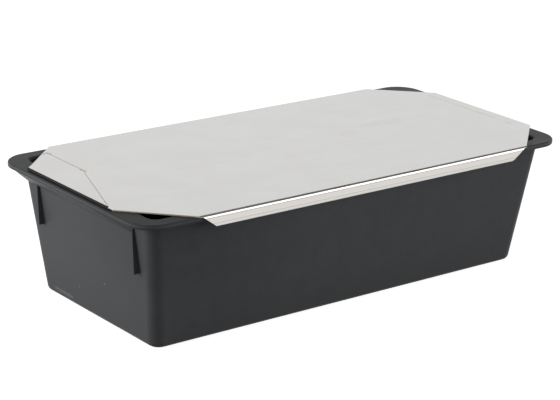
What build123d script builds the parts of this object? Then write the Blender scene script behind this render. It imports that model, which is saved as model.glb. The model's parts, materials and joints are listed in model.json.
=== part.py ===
from build123d import *
import os
from math import cos, radians, sin, tan

# A loaf pan and its sliding lid, in mm. X runs along the pan, Y across it and Z up.
# The origin is the middle of the underside of the base.

# Pan: a drafted box with a rim flange
base_length = 260.8            # outside, at the very bottom, before its edge is rounded
base_width = 112.6
pan_height = 76.8              # underside of the base to the top of the rim
wall_draft = 7.1               # lean of all four walls, degrees from upright
wall_thickness = 3.0
floor_thickness = 3.0
body_corner_radius = 7.0       # outside, down the four upright corners
base_edge_radius = 3.5         # outside, around the base
floor_edge_radius = 3.0        # inside, where the walls meet the floor
rim_thickness = 2.8
end_flange = 10.4              # how far the rim stands out from the end walls
side_flange = 7.45             # and from the long walls
rim_corner_radius = 15.5
rim_top_edge_radius = 0.9
rim_low_edge_radius = 0.5
mouth_edge_radius = 2.0        # inner edge of the rim
rim_root_radius = 1.8          # under the rim, where it meets the walls
haunch_height = 9.3            # sloping haunch: the rim's underside down to where it leaves the walls
haunch_inset = 1.2             # flat strip under the rim, outside the haunch
haunch_root = 3.0              # the haunch starts this far below its foot, inside the wall
haunch_end_reach = 119.0       # how far it runs along the -X end wall, from the rim's +Y edge
haunch_side_reach = 45.0       # and along the +Y wall, from the rim's -X edge
haunch_fade = 15.0             # turn of its two ends as they run out into the walls, degrees

# Stacking ribs: two on each end wall, which stop nested pans from jamming
rib_spacing = 95.2             # middle to middle
rib_width = 2.4                # at its foot, inside the wall
rib_top_width = 1.2            # and at the rim
rib_foot_height = 42.6         # base to the foot of the rib, at its root
rib_foot_depth = 3.35          # how far the foot stands out from the wall
rib_lean = 2.4                 # how far its outer face leans outwards, degrees from upright
rib_side_draft = 1.5           # lean of the rib's sides and foot, degrees
rib_edge_radius = 0.3

# Lid: one folded sheet
sheet = 0.7
lid_lift = 0.2                 # clearance between the lid's sheet and the rim
lid_side_clearance = 1.0       # between the rim's long edge and the inside of the channel
lid_shift = 1.6                # how far the lid has been slid towards +X from the middle
bend_radius = 1.0              # inside
channel_depth = 7.7            # top of the lid to the lowest face of the channel
grip_reach = 3.6               # return lip under the rim, in from the inside of the channel
corner_cut_length = 33.8       # corners cut off the lid, along X
corner_cut_width = 31.6        # and along Y
tab_corner_cut_width = 35.2    # the same, at the corner where the tab's sloping edge ends
channel_end_run = 10.6         # the cut goes on down the channel by this much along X

# Tab at the -X end, folded back flat over the top
tab_gap = 0.3                  # between the tab and the sheet under it
tab_reach = 23.5               # fold to the tab's free edge
tab_free_edge = 38.0           # length of the free edge
tab_far_margin = 3.8           # the tab's far corner stands this far in from the lid's cut corner
tab_near_margin = 1.5          # and its fold stops this far short of the cut at the other end

# Worked out from the sizes above
wall_lean = tan(radians(wall_draft))
rim_underside = pan_height - rim_thickness
rim_length = base_length + 2 * (rim_underside * wall_lean + end_flange)
rim_width = base_width + 2 * (rim_underside * wall_lean + side_flange)
wall_run = wall_thickness / cos(radians(wall_draft))   # wall thickness measured level
haunch_foot = rim_underside - haunch_height            # its height above the base
lid_top = pan_height + lid_lift + sheet
lid_length = rim_length
lid_width = rim_width + 2 * (lid_side_clearance + sheet)
lid_min_x = lid_shift - lid_length / 2
lid_max_x = lid_shift + lid_length / 2
lid_side = lid_width / 2
fold_radius = sheet + tab_gap / 2                      # outside of the tab's fold
over = 5.0                     # cutting tools run this far past what they cut


def drafted_box(length, width, height, upright_radius, low_radius):
    """Box that widens upwards at the walls' draft, its upright and lower edges rounded."""
    box = extrude(Rectangle(length, width), amount=height, taper=-wall_draft)
    box = fillet(box.edges().group_by(Axis.Z)[1], upright_radius)
    return fillet(box.faces().sort_by(Axis.Z)[0].edges(), low_radius)


def rim():
    """Flat flange around the mouth, still without its hole."""
    plate = extrude(RectangleRounded(rim_length, rim_width, rim_corner_radius), amount=rim_thickness)
    plate = fillet(plate.faces().sort_by(Axis.Z)[-1].edges(), rim_top_edge_radius)
    plate = fillet(plate.faces().sort_by(Axis.Z)[0].edges(), rim_low_edge_radius)
    return Pos(0, 0, rim_underside) * plate


def haunch_outline(height):
    """Level section of the haunch: the wall's outline at its foot, nearly the rim's at its top."""
    rise = (height - haunch_foot) / haunch_height
    foot_spread = 2 * haunch_foot * wall_lean
    foot = (base_length + foot_spread, base_width + foot_spread, body_corner_radius)
    top = (rim_length - 2 * haunch_inset, rim_width - 2 * haunch_inset, rim_corner_radius - haunch_inset)
    length, width, radius = (low + rise * (high - low) for low, high in zip(foot, top))
    return Pos(0, 0, height) * RectangleRounded(length, width, radius)


def haunch():
    """Thickening that carries the rim round the -X +Y corner; its ends run out into the walls."""
    solid = loft([haunch_outline(haunch_foot - haunch_root), haunch_outline(rim_underside)])
    corner = Pos(-rim_length / 2, rim_width / 2, haunch_foot)
    solid &= corner * Box(2 * haunch_side_reach, 2 * haunch_end_reach, rim_underside)
    end_stop = (-base_length / 2 - rim_underside * wall_lean, rim_width / 2 - haunch_end_reach, rim_underside)
    side_stop = (haunch_side_reach - rim_length / 2, base_width / 2 + rim_underside * wall_lean, rim_underside)
    for stop, turn in ((end_stop, 180 + haunch_fade), (side_stop, 90 - haunch_fade)):
        facing = (cos(radians(turn)), sin(radians(turn)), 0)
        solid = split(solid, bisect_by=Plane(origin=stop, z_dir=facing), keep=Keep.BOTTOM)
    return solid


def stacking_rib():
    """One rib of the +X end wall, centred on Y = 0."""
    root = base_length / 2 + rib_foot_height * wall_lean - wall_thickness / 2
    lean = radians(rib_lean)
    root_plane = Plane(
        origin=(root, 0, rib_foot_height),
        x_dir=(0, 1, 0),
        z_dir=(cos(lean), 0, -sin(lean)),
    )
    top = rim_underside + rim_thickness / 2 - rib_foot_height
    outline = Polyline(
        (-rib_width / 2, 0),
        (rib_width / 2, 0),
        (rib_top_width / 2, top),
        (-rib_top_width / 2, top),
        close=True,
    )
    reach = wall_thickness / 2 + rib_foot_depth
    rib = extrude(root_plane * make_face(outline), amount=reach, taper=rib_side_draft)
    return fillet(rib.faces().sort_by(Axis.X)[-1].edges(), rib_edge_radius)


def pan_body():
    """The moulded pan."""
    shell = drafted_box(base_length, base_width, rim_underside, body_corner_radius, base_edge_radius)
    shell += rim()
    underside = shell.faces().filter_by(Plane.XY).sort_by(Axis.Z)[1]
    shell = fillet(underside.inner_wires()[0].edges(), rim_root_radius)
    shell += haunch()
    for end_turn in (0, 180):
        for side in (-1, 1):
            shell += Rot(0, 0, end_turn) * Pos(0, side * rib_spacing / 2, 0) * stacking_rib()
    narrowing = wall_run - floor_thickness * wall_lean
    cavity = drafted_box(
        base_length - 2 * narrowing,
        base_width - 2 * narrowing,
        pan_height - floor_thickness + over,
        body_corner_radius - wall_thickness,
        floor_edge_radius,
    )
    shell -= Pos(0, 0, floor_thickness) * cavity
    mouth = shell.faces().sort_by(Axis.Z)[-1].inner_wires()[0]
    return shell.fillet(mouth_edge_radius, mouth.edges())


def channelled_sheet():
    """The lid's sheet with a channel bent down and in along both long sides, before its corners are cut."""
    section = RectangleRounded(lid_width, channel_depth, bend_radius + sheet)
    section -= RectangleRounded(lid_width - 2 * sheet, channel_depth - 2 * sheet, bend_radius)
    open_width = lid_width - 2 * (sheet + grip_reach)
    section -= Pos(0, -channel_depth / 2) * Rectangle(open_width, channel_depth)
    start = lid_min_x + fold_radius
    middle_height = lid_top - channel_depth / 2
    return extrude(Plane.YZ.offset(start) * Pos(0, middle_height) * section, amount=lid_max_x + over - start)


def cut_width(end, side):
    """Size across the lid of the cut at one corner: end and side are -1 or 1."""
    return tab_corner_cut_width if (end, side) == (-1, -1) else corner_cut_width


def cut_line(end, side):
    """The cut at one corner: its point on the lid's end, and one just past the lid's side."""
    end_x = lid_min_x if end < 0 else lid_max_x
    width = cut_width(end, side)
    past = 1 + over / width
    on_end = (end_x, side * (lid_side - width))
    past_side = (end_x - end * corner_cut_length * past, side * (lid_side + over))
    return [on_end, past_side]


def lid_outline():
    """Eight-sided outline that trims the sheet to length and cuts its corners."""
    points = cut_line(-1, -1) + cut_line(1, -1)[::-1] + cut_line(1, 1) + cut_line(-1, 1)[::-1]
    outline = make_face(Polyline(*points, close=True))
    return Pos(0, 0, lid_top - channel_depth - over) * extrude(outline, amount=channel_depth + 2 * over)


def channel_end_cut(end, side):
    """Wedge that carries a corner's cut on down the channel to its lower edge."""
    end_x = lid_min_x if end < 0 else lid_max_x
    corner_x = end_x - end * corner_cut_length
    top = lid_top - sheet
    low = lid_top - channel_depth - over
    run_per_depth = channel_end_run / channel_depth
    outline = Polyline(
        (end_x, top),
        (corner_x - end * sheet * run_per_depth, top),
        (corner_x - end * (channel_depth + over) * run_per_depth, low),
        (end_x, low),
        close=True,
    )
    inner_side = lid_side - sheet - grip_reach - over
    middle = side * (inner_side + lid_side + over) / 2
    reach = (lid_side + over - inner_side) / 2
    return Pos(0, middle, 0) * extrude(Plane.XZ * make_face(outline), amount=reach, both=True)


def tab():
    """The tab: a fold at the lid's -X end and the flat piece that lies back over the top."""
    near = tab_near_margin - (lid_side - tab_corner_cut_width)
    far = lid_side - corner_cut_width
    fold_middle = (lid_min_x + fold_radius, lid_top + tab_gap / 2)
    section = Circle(fold_radius) - Circle(tab_gap / 2)
    section -= Pos(fold_radius, 0) * Rectangle(2 * fold_radius, 2 * fold_radius)
    fold = extrude(Plane.XZ.offset(-far) * Pos(*fold_middle) * section, amount=far - near)
    free_x = lid_min_x + tab_reach
    free_far = far + tab_reach * corner_cut_width / corner_cut_length - tab_far_margin
    outline = Polyline(
        (fold_middle[0], far),
        (free_x, free_far),
        (free_x, free_far - tab_free_edge),
        (fold_middle[0], near),
        close=True,
    )
    return fold + Pos(0, 0, lid_top + tab_gap) * extrude(make_face(outline), amount=sheet)


def slide_lid():
    """The folded lid, as it sits on the rim."""
    lid = channelled_sheet() & lid_outline()
    for end in (-1, 1):
        for side in (-1, 1):
            lid -= channel_end_cut(end, side)
    return lid + tab()


os.makedirs("parts", exist_ok=True)
for name, piece in (("pan_body", pan_body()), ("slide_lid", slide_lid())):
    export_step(piece, f"parts/{name}.step")
    box = piece.bounding_box()
    print(name, len(piece.solids()), "solid", round(piece.volume), box.min, box.max)
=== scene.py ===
"""Looks of the loaf pan: camera, soft studio light, white floor and the finishes of its two pieces."""

import json
from math import cos, radians, sin

import bpy
from mathutils import Matrix, Vector


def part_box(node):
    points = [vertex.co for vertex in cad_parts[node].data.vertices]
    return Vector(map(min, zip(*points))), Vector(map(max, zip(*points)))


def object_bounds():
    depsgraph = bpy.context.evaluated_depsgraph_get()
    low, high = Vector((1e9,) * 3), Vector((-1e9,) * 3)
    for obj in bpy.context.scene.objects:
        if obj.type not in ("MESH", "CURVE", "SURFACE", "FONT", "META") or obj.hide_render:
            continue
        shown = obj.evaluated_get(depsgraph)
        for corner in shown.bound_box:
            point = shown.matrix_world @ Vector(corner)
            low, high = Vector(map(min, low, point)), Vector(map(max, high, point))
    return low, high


MM = 0.001

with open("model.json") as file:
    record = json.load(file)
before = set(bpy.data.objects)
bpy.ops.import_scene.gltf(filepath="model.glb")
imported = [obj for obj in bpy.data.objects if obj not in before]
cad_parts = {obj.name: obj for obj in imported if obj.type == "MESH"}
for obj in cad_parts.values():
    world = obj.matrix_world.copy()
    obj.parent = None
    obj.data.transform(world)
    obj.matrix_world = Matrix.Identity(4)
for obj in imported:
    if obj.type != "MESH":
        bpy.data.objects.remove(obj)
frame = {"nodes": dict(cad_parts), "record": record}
cad_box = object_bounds()
scene = bpy.context.scene

# View of the pan: it is aimed at a point above the middle of the base
VIEW_AZIMUTH = 38.12           # degrees, from the pan's long side towards its -X end
VIEW_ELEVATION = 18.36
VIEW_ROLL = 1.70
VIEW_DISTANCE = 1.1872
VIEW_POINT = Vector((0, 0, 40 * MM))
VIEW_OFFSET = (-3.85 * MM, 4.9 * MM)   # right and up of the line to that point
LENS = 131.0
SENSOR = 36.0

# Light: what the surroundings give to matt surfaces, level and from above
SKY_SIDE = 0.39
SKY_TOP = 0.15

# and what reflections see of them: a white backdrop, a dark gap above it and a pale ceiling
BACKDROP_LEVEL = 1.0
GAP_LEVEL = 0.08
CEILING_LEVEL = 0.75
GAP_LOW, GAP_HIGH = 0.60, 0.86 # the gap's edges, as the sine of their elevation
GAP_DROP = 0.20                # how far its low edge comes down, behind the -X end
EDGE_BLUR = 0.05

# What the floor gives off to the camera and to reflections, besides the light it scatters
FLOOR_GLOW = 0.90

# Where the pan's end wall stands
END_WALL_IN = 19.6 * MM        # its foot, in from the rim's end
WALL_LEAN = 0.125              # how far it leans out, for each unit of height


# ---------------------------------------------------------------- camera

def add_camera():
    """Camera at the pan's viewing angle."""
    azimuth = radians(VIEW_AZIMUTH)
    elevation = radians(VIEW_ELEVATION)
    roll = radians(VIEW_ROLL)
    back = Vector((-sin(azimuth) * cos(elevation), -cos(azimuth) * cos(elevation), sin(elevation)))
    level_right = (-back).cross(Vector((0, 0, 1))).normalized()
    level_up = level_right.cross(-back)
    right = level_right * cos(roll) + level_up * sin(roll)
    up = level_up * cos(roll) - level_right * sin(roll)
    place = VIEW_POINT + back * VIEW_DISTANCE + right * VIEW_OFFSET[0] + up * VIEW_OFFSET[1]
    data = bpy.data.cameras.new("camera")
    data.lens = LENS
    data.sensor_width = SENSOR
    data.clip_start = 0.05
    data.clip_end = 50
    camera = bpy.data.objects.new("camera", data)
    turn = Matrix((right, up, back)).transposed().to_4x4()
    camera.matrix_world = Matrix.Translation(place) @ turn
    scene.collection.objects.link(camera)
    scene.camera = camera


# ---------------------------------------------------------------- node helpers

class Nodes:
    """A material's or world's node tree, with short calls to add and join nodes."""

    def __init__(self, owner):
        owner.use_nodes = True
        self.tree = owner.node_tree
        self.tree.nodes.clear()

    def add(self, kind, inputs=None, **settings):
        """Adds a node; inputs are values or other nodes' outputs, by name or number."""
        node = self.tree.nodes.new(kind)
        for name, value in settings.items():
            setattr(node, name, value)
        for name, value in (inputs or {}).items():
            if isinstance(value, bpy.types.NodeSocket):
                self.tree.links.new(value, node.inputs[name])
            else:
                node.inputs[name].default_value = value
        return node

    def math(self, operation, a, b=0.0):
        return self.add("ShaderNodeMath", {0: a, 1: b}, operation=operation).outputs[0]

    def times(self, a, b):
        return self.math("MULTIPLY", a, b)

    def magnitude(self, value):
        """The value without its sign."""
        return self.math("ABSOLUTE", value)

    def vector(self, operation, a, b=(0, 0, 0), scale=1.0):
        """Vector arithmetic; a length or dot product comes out as a number."""
        inputs = {0: a, "Scale": scale} if operation == "SCALE" else {0: a, 1: b}
        node = self.add("ShaderNodeVectorMath", inputs, operation=operation)
        return node.outputs["Value" if operation in ("LENGTH", "DOT_PRODUCT") else "Vector"]

    def coordinates(self, kind):
        return self.add("ShaderNodeTexCoord").outputs[kind]

    def place(self):
        """Object coordinates: metres in the pan's own frame."""
        return self.coordinates("Object")

    def parts(self, vector):
        """A vector's X, Y and Z."""
        return self.add("ShaderNodeSeparateXYZ", {0: vector}).outputs

    def noise(self, size, stretch=(1, 1, 1), detail=3.0, roughness=0.5):
        """Noise, 0 to 1, whose grains are about size metres across, and longer where stretch is more."""
        scale = tuple(1 / s for s in stretch)
        inputs = {
            "Vector": self.add("ShaderNodeMapping", {"Vector": self.place(), "Scale": scale}).outputs[0],
            "Scale": 1 / size,
            "Detail": detail,
            "Roughness": roughness,
        }
        return self.add("ShaderNodeTexNoise", inputs).outputs["Fac"]

    def ramp(self, value, low, high, out_low=0.0, out_high=1.0, kind="SMOOTHSTEP"):
        """Maps value from low..high to out_low..out_high, and holds it there outside."""
        inputs = {"Value": value, "From Min": low, "From Max": high, "To Min": out_low, "To Max": out_high}
        return self.add("ShaderNodeMapRange", inputs, interpolation_type=kind).outputs["Result"]

    def mix(self, share, a, b):
        """Colour a turned into colour b by share."""
        return self.add("ShaderNodeMix", {0: share, 6: a, 7: b}, data_type="RGBA").outputs[2]

    def distance_to_line(self, start, end):
        """Distance from the shaded point to the straight piece from start to end."""
        along = Vector(end) - Vector(start)
        offset = self.vector("SUBTRACT", self.place(), tuple(start))
        share = self.math("DIVIDE", self.vector("DOT_PRODUCT", offset, tuple(along)), along.length_squared)
        share = self.ramp(share, 0, 1, kind="LINEAR")
        nearest = self.vector("SCALE", tuple(along), scale=share)
        return self.vector("LENGTH", self.vector("SUBTRACT", offset, nearest))


def colour(red, green, blue):
    return (red, green, blue, 1.0)


def grey(level):
    return colour(level, level, level)


# ---------------------------------------------------------------- composite of the pan

def painted_foot_shade(nodes, tone):
    """Painted shade: the walls a little darker towards the base, and its rounded edge much darker, where the
    floor lights them less.
    """
    height = nodes.parts(nodes.place())["Z"]
    tone = nodes.mix(nodes.ramp(height, 0, 30 * MM, 0.18, 0), tone, grey(0.02))
    return nodes.mix(nodes.ramp(height, 1 * MM, 3.5 * MM, 0.7, 0), tone, grey(0.012))


def rim_painted_highlight_and_shade(nodes, tone):
    """A pale line and a dark one under it, round the outside of the rim: a painted highlight on its edge and
    painted shade under its lip.
    """
    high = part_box("pan_body")[1]
    along, across, height = nodes.parts(nodes.place())
    beyond_end = nodes.ramp(nodes.magnitude(along), high.x - 8 * MM, high.x - 6 * MM)
    beyond_side = nodes.ramp(nodes.magnitude(across), high.y - 8 * MM, high.y - 6 * MM)
    outside = nodes.math("MAXIMUM", beyond_end, beyond_side)
    # the pale line is painted highlight, the dark one painted shade
    for depth, line in ((1.1, grey(0.16)), (2.2, grey(0.02))):
        away = nodes.magnitude(nodes.math("SUBTRACT", height, high.z - depth * MM))
        tone = nodes.mix(nodes.times(nodes.ramp(away, 0, 0.5 * MM, 0.35, 0), outside), tone, line)
    return tone


def end_wall_marks(nodes, tone, grain):
    """A scuff low on the -X end wall, and two specks above it."""
    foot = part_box("pan_body")[0].x + END_WALL_IN

    def on_wall(side, height, beyond=0.0):
        """Point on the end wall or beyond it, from its place across the pan and its height, in mm."""
        return (foot - (beyond + height * WALL_LEAN) * MM, side * MM, height * MM)

    scuff = nodes.distance_to_line(on_wall(43, 4.6), on_wall(25, 4.6))
    scuff = nodes.times(nodes.ramp(scuff, 0.4 * MM, 1.5 * MM, 1, 0), nodes.ramp(grain, 0.35, 0.6))
    tone = nodes.mix(nodes.times(scuff, 0.55), tone, grey(0.22))
    for side, height in ((15.6, 14.1), (-11.5, 24.5)):
        speck = nodes.distance_to_line(on_wall(side, height, beyond=1), on_wall(side, height))
        tone = nodes.mix(nodes.ramp(speck, 0.2 * MM, 0.7 * MM, 0.6, 0), tone, grey(0.30))
    return tone


def composite():
    """Dark grey fibre-filled composite: satin, with a fine grain, faint mottling and a few marks."""
    low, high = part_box("pan_body")
    material = bpy.data.materials.new("composite_finish")
    nodes = Nodes(material)
    mottle = nodes.noise(12 * MM, detail=4, roughness=0.6)
    grain = nodes.noise(0.8 * MM, detail=3, roughness=0.65)
    tone = nodes.mix(nodes.ramp(mottle, 0.3, 0.7), colour(0.060, 0.062, 0.065), colour(0.068, 0.070, 0.073))
    tone = nodes.mix(nodes.ramp(grain, 0.4, 0.8, 0, 0.25), tone, colour(0.095, 0.097, 0.100))
    tone = painted_foot_shade(nodes, tone)
    tone = rim_painted_highlight_and_shade(nodes, tone)
    tone = end_wall_marks(nodes, tone, grain)

    # duller round the -X -Y corner than elsewhere
    shine = nodes.distance_to_line((low.x, low.y, high.z), (low.x + 30 * MM, low.y, high.z))
    shine = nodes.ramp(shine, 0, 110 * MM, 0.03, 0.10)
    bump = nodes.add("ShaderNodeBump", {"Height": grain, "Distance": 0.03 * MM, "Strength": 0.5})
    shader = nodes.add(
        "ShaderNodeBsdfPrincipled",
        {
            "Base Color": tone,
            "Roughness": nodes.ramp(mottle, 0.3, 0.7, 0.42, 0.50),
            "Specular IOR Level": shine,
            "Normal": bump.outputs[0],
        },
    )
    nodes.add("ShaderNodeOutputMaterial", {"Surface": shader.outputs[0]})
    return material


# ---------------------------------------------------------------- stainless steel of the lid

def top_stains(nodes, tone, breakup):
    """Two faint olive stains on the lid's top and a brown streak along its +X edge."""
    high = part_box("slide_lid")[1]
    drift = nodes.noise(14 * MM, detail=3, roughness=0.6)
    for start, end, reach in (((42, 2), (60, 6), 6), ((66, 9), (90, 8), 8)):
        start, end = (Vector((x * MM, y * MM, high.z)) for x, y in (start, end))
        olive = nodes.distance_to_line(start, end)
        olive = nodes.math("ADD", olive, nodes.ramp(drift, 0.3, 0.7, -4 * MM, 4 * MM))
        olive = nodes.times(nodes.ramp(olive, 0, reach * MM, 0.16, 0), nodes.ramp(breakup, 0.3, 0.6))
        tone = nodes.mix(olive, tone, colour(0.50, 0.455, 0.38))
    edge = high.x - 7.6 * MM
    streak = nodes.distance_to_line((edge, -40 * MM, high.z), (edge, 40 * MM, high.z))
    streak = nodes.times(nodes.ramp(streak, 0.3 * MM, 2.2 * MM, 0.45, 0), nodes.ramp(drift, 0.35, 0.6))
    return nodes.mix(streak, tone, colour(0.42, 0.36, 0.28))


def tab_corners():
    """The tab's outline on the lid's top: its far and near free corners, and the near end of its fold."""
    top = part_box("slide_lid")[1].z
    flat = [v.co for v in frame["nodes"]["slide_lid"].data.vertices if v.co.z > top - 0.05 * MM]
    free_x = max(p.x for p in flat)
    fold_x = min(p.x for p in flat)
    free = [p for p in flat if p.x > free_x - 0.1 * MM]
    fold = [p for p in flat if p.x < fold_x + 0.1 * MM]
    free.sort(key=lambda p: p.y)
    return Vector(free[-1]), Vector(free[0]), Vector(min(fold, key=lambda p: p.y))


def tab_residue_and_painted_shade(nodes, tone, breakup):
    """Dark lines along the tab's free edges, partly brown residue and partly painted shadow of the gap under
    them, and a spot at each of its free corners: an orange-brown stain at the near one, and at the far one a
    near-black spot, partly dirt and partly painted shade in the notch there.
    """
    far_free, near_free, near_fold = tab_corners()
    # edge lines: brown residue, and painted shadow of the gap under the tab's edges
    for start, end, strength in ((far_free, near_free, 0.8), (near_free, near_fold, 0.5)):
        seam = nodes.distance_to_line(start, end)
        seam = nodes.math("ADD", seam, nodes.ramp(breakup, 0.35, 0.65, -0.2 * MM, 0.2 * MM))
        tone = nodes.mix(nodes.ramp(seam, 0.25 * MM, 0.9 * MM, strength, 0), tone, colour(0.20, 0.15, 0.10))
    # the far corner's near-black spot is partly painted shade in the notch there
    stains = (
        (near_free, 2.6 * MM, colour(0.40, 0.19, 0.07)),
        (far_free, 3.2 * MM, colour(0.05, 0.04, 0.03)),
    )
    for corner, reach, stain in stains:
        spot = nodes.distance_to_line(corner, corner + Vector((0.5 * MM, 0, 0)))
        tone = nodes.mix(nodes.ramp(spot, 0.8 * MM, reach, 0.9, 0), tone, stain)
    return tone


def channel_painted_reflection_and_marks(nodes, tone, facing):
    """The -Y channel's side: a warmer tone, which is a painted reflection of warm surroundings, with two
    marks drawn along it by the bending.
    """
    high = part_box("slide_lid")[1]
    # painted reflection: only the -Y side is tinted warm, as if it reflected warm surroundings
    tone = nodes.mix(nodes.ramp(facing["Y"], -0.5, -0.95), tone, colour(0.625, 0.602, 0.575))
    height = nodes.parts(nodes.place())["Z"]
    side = nodes.ramp(facing["Y"], -0.5, -0.9)
    for depth, strength in ((2.9, 0.55), (6.3, 0.35)):
        mark = nodes.magnitude(nodes.math("SUBTRACT", height, high.z - depth * MM))
        mark = nodes.times(nodes.ramp(mark, 0.1 * MM, 0.35 * MM, strength, 0), side)
        tone = nodes.mix(mark, tone, colour(0.30, 0.28, 0.26))
    return tone


def fold_painted_reflection_and_shade(nodes, tone, facing):
    """The outside of the -X fold painted dark: painted reflection of the dark rim below it and painted shade
    in the gap over the rim.
    """
    fold = nodes.ramp(nodes.magnitude(facing["Y"]), 0.3, 0.1)
    fold = nodes.times(fold, nodes.ramp(facing["X"], -0.15, -0.45))
    return nodes.mix(fold, tone, colour(0.035, 0.031, 0.027))


def stainless():
    """Mill-finish stainless sheet: fine rolling grain along the lid and faint baking stains."""
    material = bpy.data.materials.new("stainless_finish")
    nodes = Nodes(material)
    grain = nodes.noise(0.5 * MM, stretch=(30, 1, 1), detail=3, roughness=0.6)
    cloud = nodes.noise(26 * MM, detail=4, roughness=0.55)
    speckle = nodes.noise(2.5 * MM, detail=4, roughness=0.7)
    breakup = nodes.noise(3 * MM, detail=4, roughness=0.6)
    facing = nodes.parts(nodes.coordinates("Normal"))

    tone = nodes.mix(nodes.ramp(cloud, 0.35, 0.65), colour(0.624, 0.617, 0.600), colour(0.640, 0.637, 0.627))
    tone = nodes.mix(nodes.ramp(speckle, 0.5, 0.75, 0, 0.35), tone, colour(0.58, 0.572, 0.55))
    # the lid's tone a little darker towards the +X end
    darker_to_plus_x = nodes.ramp(nodes.parts(nodes.place())["X"], -20 * MM, 130 * MM, 0.1, 0.55)
    tone = nodes.mix(darker_to_plus_x, tone, colour(0.592, 0.588, 0.574))
    tone = top_stains(nodes, tone, breakup)
    tone = tab_residue_and_painted_shade(nodes, tone, breakup)
    tone = channel_painted_reflection_and_marks(nodes, tone, facing)
    tone = fold_painted_reflection_and_shade(nodes, tone, facing)

    # painted highlight: the cut edges at the corners are made matt and yellowish, so that they show as a
    # pale line of caught light
    lengthwise, crosswise = (nodes.ramp(nodes.magnitude(facing[axis]), 0.3, 0.6) for axis in ("X", "Y"))
    pale_edge_highlight = nodes.times(lengthwise, crosswise)
    tone = nodes.mix(pale_edge_highlight, tone, colour(0.62, 0.56, 0.42))

    edge = nodes.add("ShaderNodeBevel", {"Radius": 0.25 * MM}, samples=4)
    bump = nodes.add(
        "ShaderNodeBump",
        {"Height": grain, "Distance": 0.004 * MM, "Strength": 0.4, "Normal": edge.outputs[0]},
    )
    shader = nodes.add(
        "ShaderNodeBsdfPrincipled",
        {
            "Base Color": tone,
            "Metallic": nodes.math("SUBTRACT", 1.0, pale_edge_highlight),
            "Roughness": nodes.ramp(grain, 0.3, 0.7, 0.20, 0.26),
            "Normal": bump.outputs[0],
        },
    )
    nodes.add("ShaderNodeOutputMaterial", {"Surface": shader.outputs[0]})
    return material


# ---------------------------------------------------------------- studio

def seen_directly(nodes):
    """1 for what the camera, a reflection or a clear material sees, 0 for what lights a matt surface."""
    path = nodes.add("ShaderNodeLightPath")
    seen = nodes.math("MAXIMUM", path.outputs["Is Camera Ray"], path.outputs["Is Glossy Ray"])
    return nodes.math("MAXIMUM", seen, path.outputs["Is Transmission Ray"])


def floor_finish():
    """Pale matt floor, which looks white to the camera and keeps the pan's shadow."""
    material = bpy.data.materials.new("floor_finish")
    nodes = Nodes(material)
    matt = nodes.add("ShaderNodeBsdfDiffuse", {"Color": grey(0.5)})
    glow = nodes.times(seen_directly(nodes), FLOOR_GLOW)
    glow = nodes.add("ShaderNodeEmission", {"Color": grey(1), "Strength": glow})
    both = nodes.add("ShaderNodeAddShader", {0: matt.outputs[0], 1: glow.outputs[0]})
    nodes.add("ShaderNodeOutputMaterial", {"Surface": both.outputs[0]})
    return material


def add_floor():
    bpy.ops.mesh.primitive_plane_add(size=12, location=(0, 0, cad_box[0].z))
    floor = bpy.context.object
    floor.name = "floor"
    floor.data.materials.append(floor_finish())


def add_lamp(name, place, aim, size, power):
    """Soft rectangular lamp at place, facing aim."""
    data = bpy.data.lights.new(name, "AREA")
    data.shape = "RECTANGLE"
    data.size, data.size_y = size
    data.energy = power
    lamp = bpy.data.objects.new(name, data)
    lamp.location = place
    lamp.rotation_euler = (Vector(aim) - Vector(place)).to_track_quat("-Z", "Y").to_euler()
    lamp.visible_camera = False
    scene.collection.objects.link(lamp)
    return lamp


def add_surroundings():
    """White backdrop all round, a dark gap above it and a pale ceiling."""
    world = bpy.data.worlds.new("studio")
    scene.world = world
    nodes = Nodes(world)
    along, across, height = nodes.parts(nodes.coordinates("Generated"))
    behind = nodes.times(nodes.ramp(along, 0.25, -0.25), nodes.ramp(across, 0, 0.4, 0, GAP_DROP))
    gap = nodes.math("ADD", height, behind)
    above = nodes.ramp(gap, GAP_LOW - EDGE_BLUR, GAP_LOW + EDGE_BLUR, BACKDROP_LEVEL, GAP_LEVEL)
    ceiling = nodes.ramp(height, GAP_HIGH - EDGE_BLUR, GAP_HIGH + EDGE_BLUR, 0, CEILING_LEVEL - GAP_LEVEL)
    reflected = nodes.math("ADD", above, ceiling)
    path = nodes.add("ShaderNodeLightPath")
    glossy = nodes.math("MAXIMUM", path.outputs["Is Glossy Ray"], path.outputs["Is Transmission Ray"])
    level = nodes.mix(glossy, nodes.ramp(height, 0.1, 0.8, SKY_SIDE, SKY_TOP), reflected)
    level = nodes.mix(path.outputs["Is Camera Ray"], level, grey(1))
    sky = nodes.add("ShaderNodeBackground", {"Color": level, "Strength": 1.0})
    nodes.add("ShaderNodeOutputWorld", {"Surface": sky.outputs[0]})


def add_light():
    """The surroundings, a lamp beyond the -X end that reflections don't show, and a large one in front."""
    add_surroundings()
    key = add_lamp("key", (-0.95, 0.50, 0.32), (-0.15, 0.03, 0.05), (0.5, 0.4), 8.2)
    key.visible_glossy = False
    add_lamp("fill", (1.5, -1.7, 0.60), (0, 0, 0.04), (2.4, 1.6), 24)


# ---------------------------------------------------------------- the scene

def finish_pieces():
    """Gives each piece the finish of its material slot."""
    finishes = {"composite": composite(), "stainless": stainless()}
    for part in frame["record"]["subparts"]:
        piece = frame["nodes"][part["node"]]
        piece.data.materials.clear()
        piece.data.materials.append(finishes[part["material_slot"]])


scene.view_settings.view_transform = "Standard"
add_camera()
add_floor()
add_light()
finish_pieces()
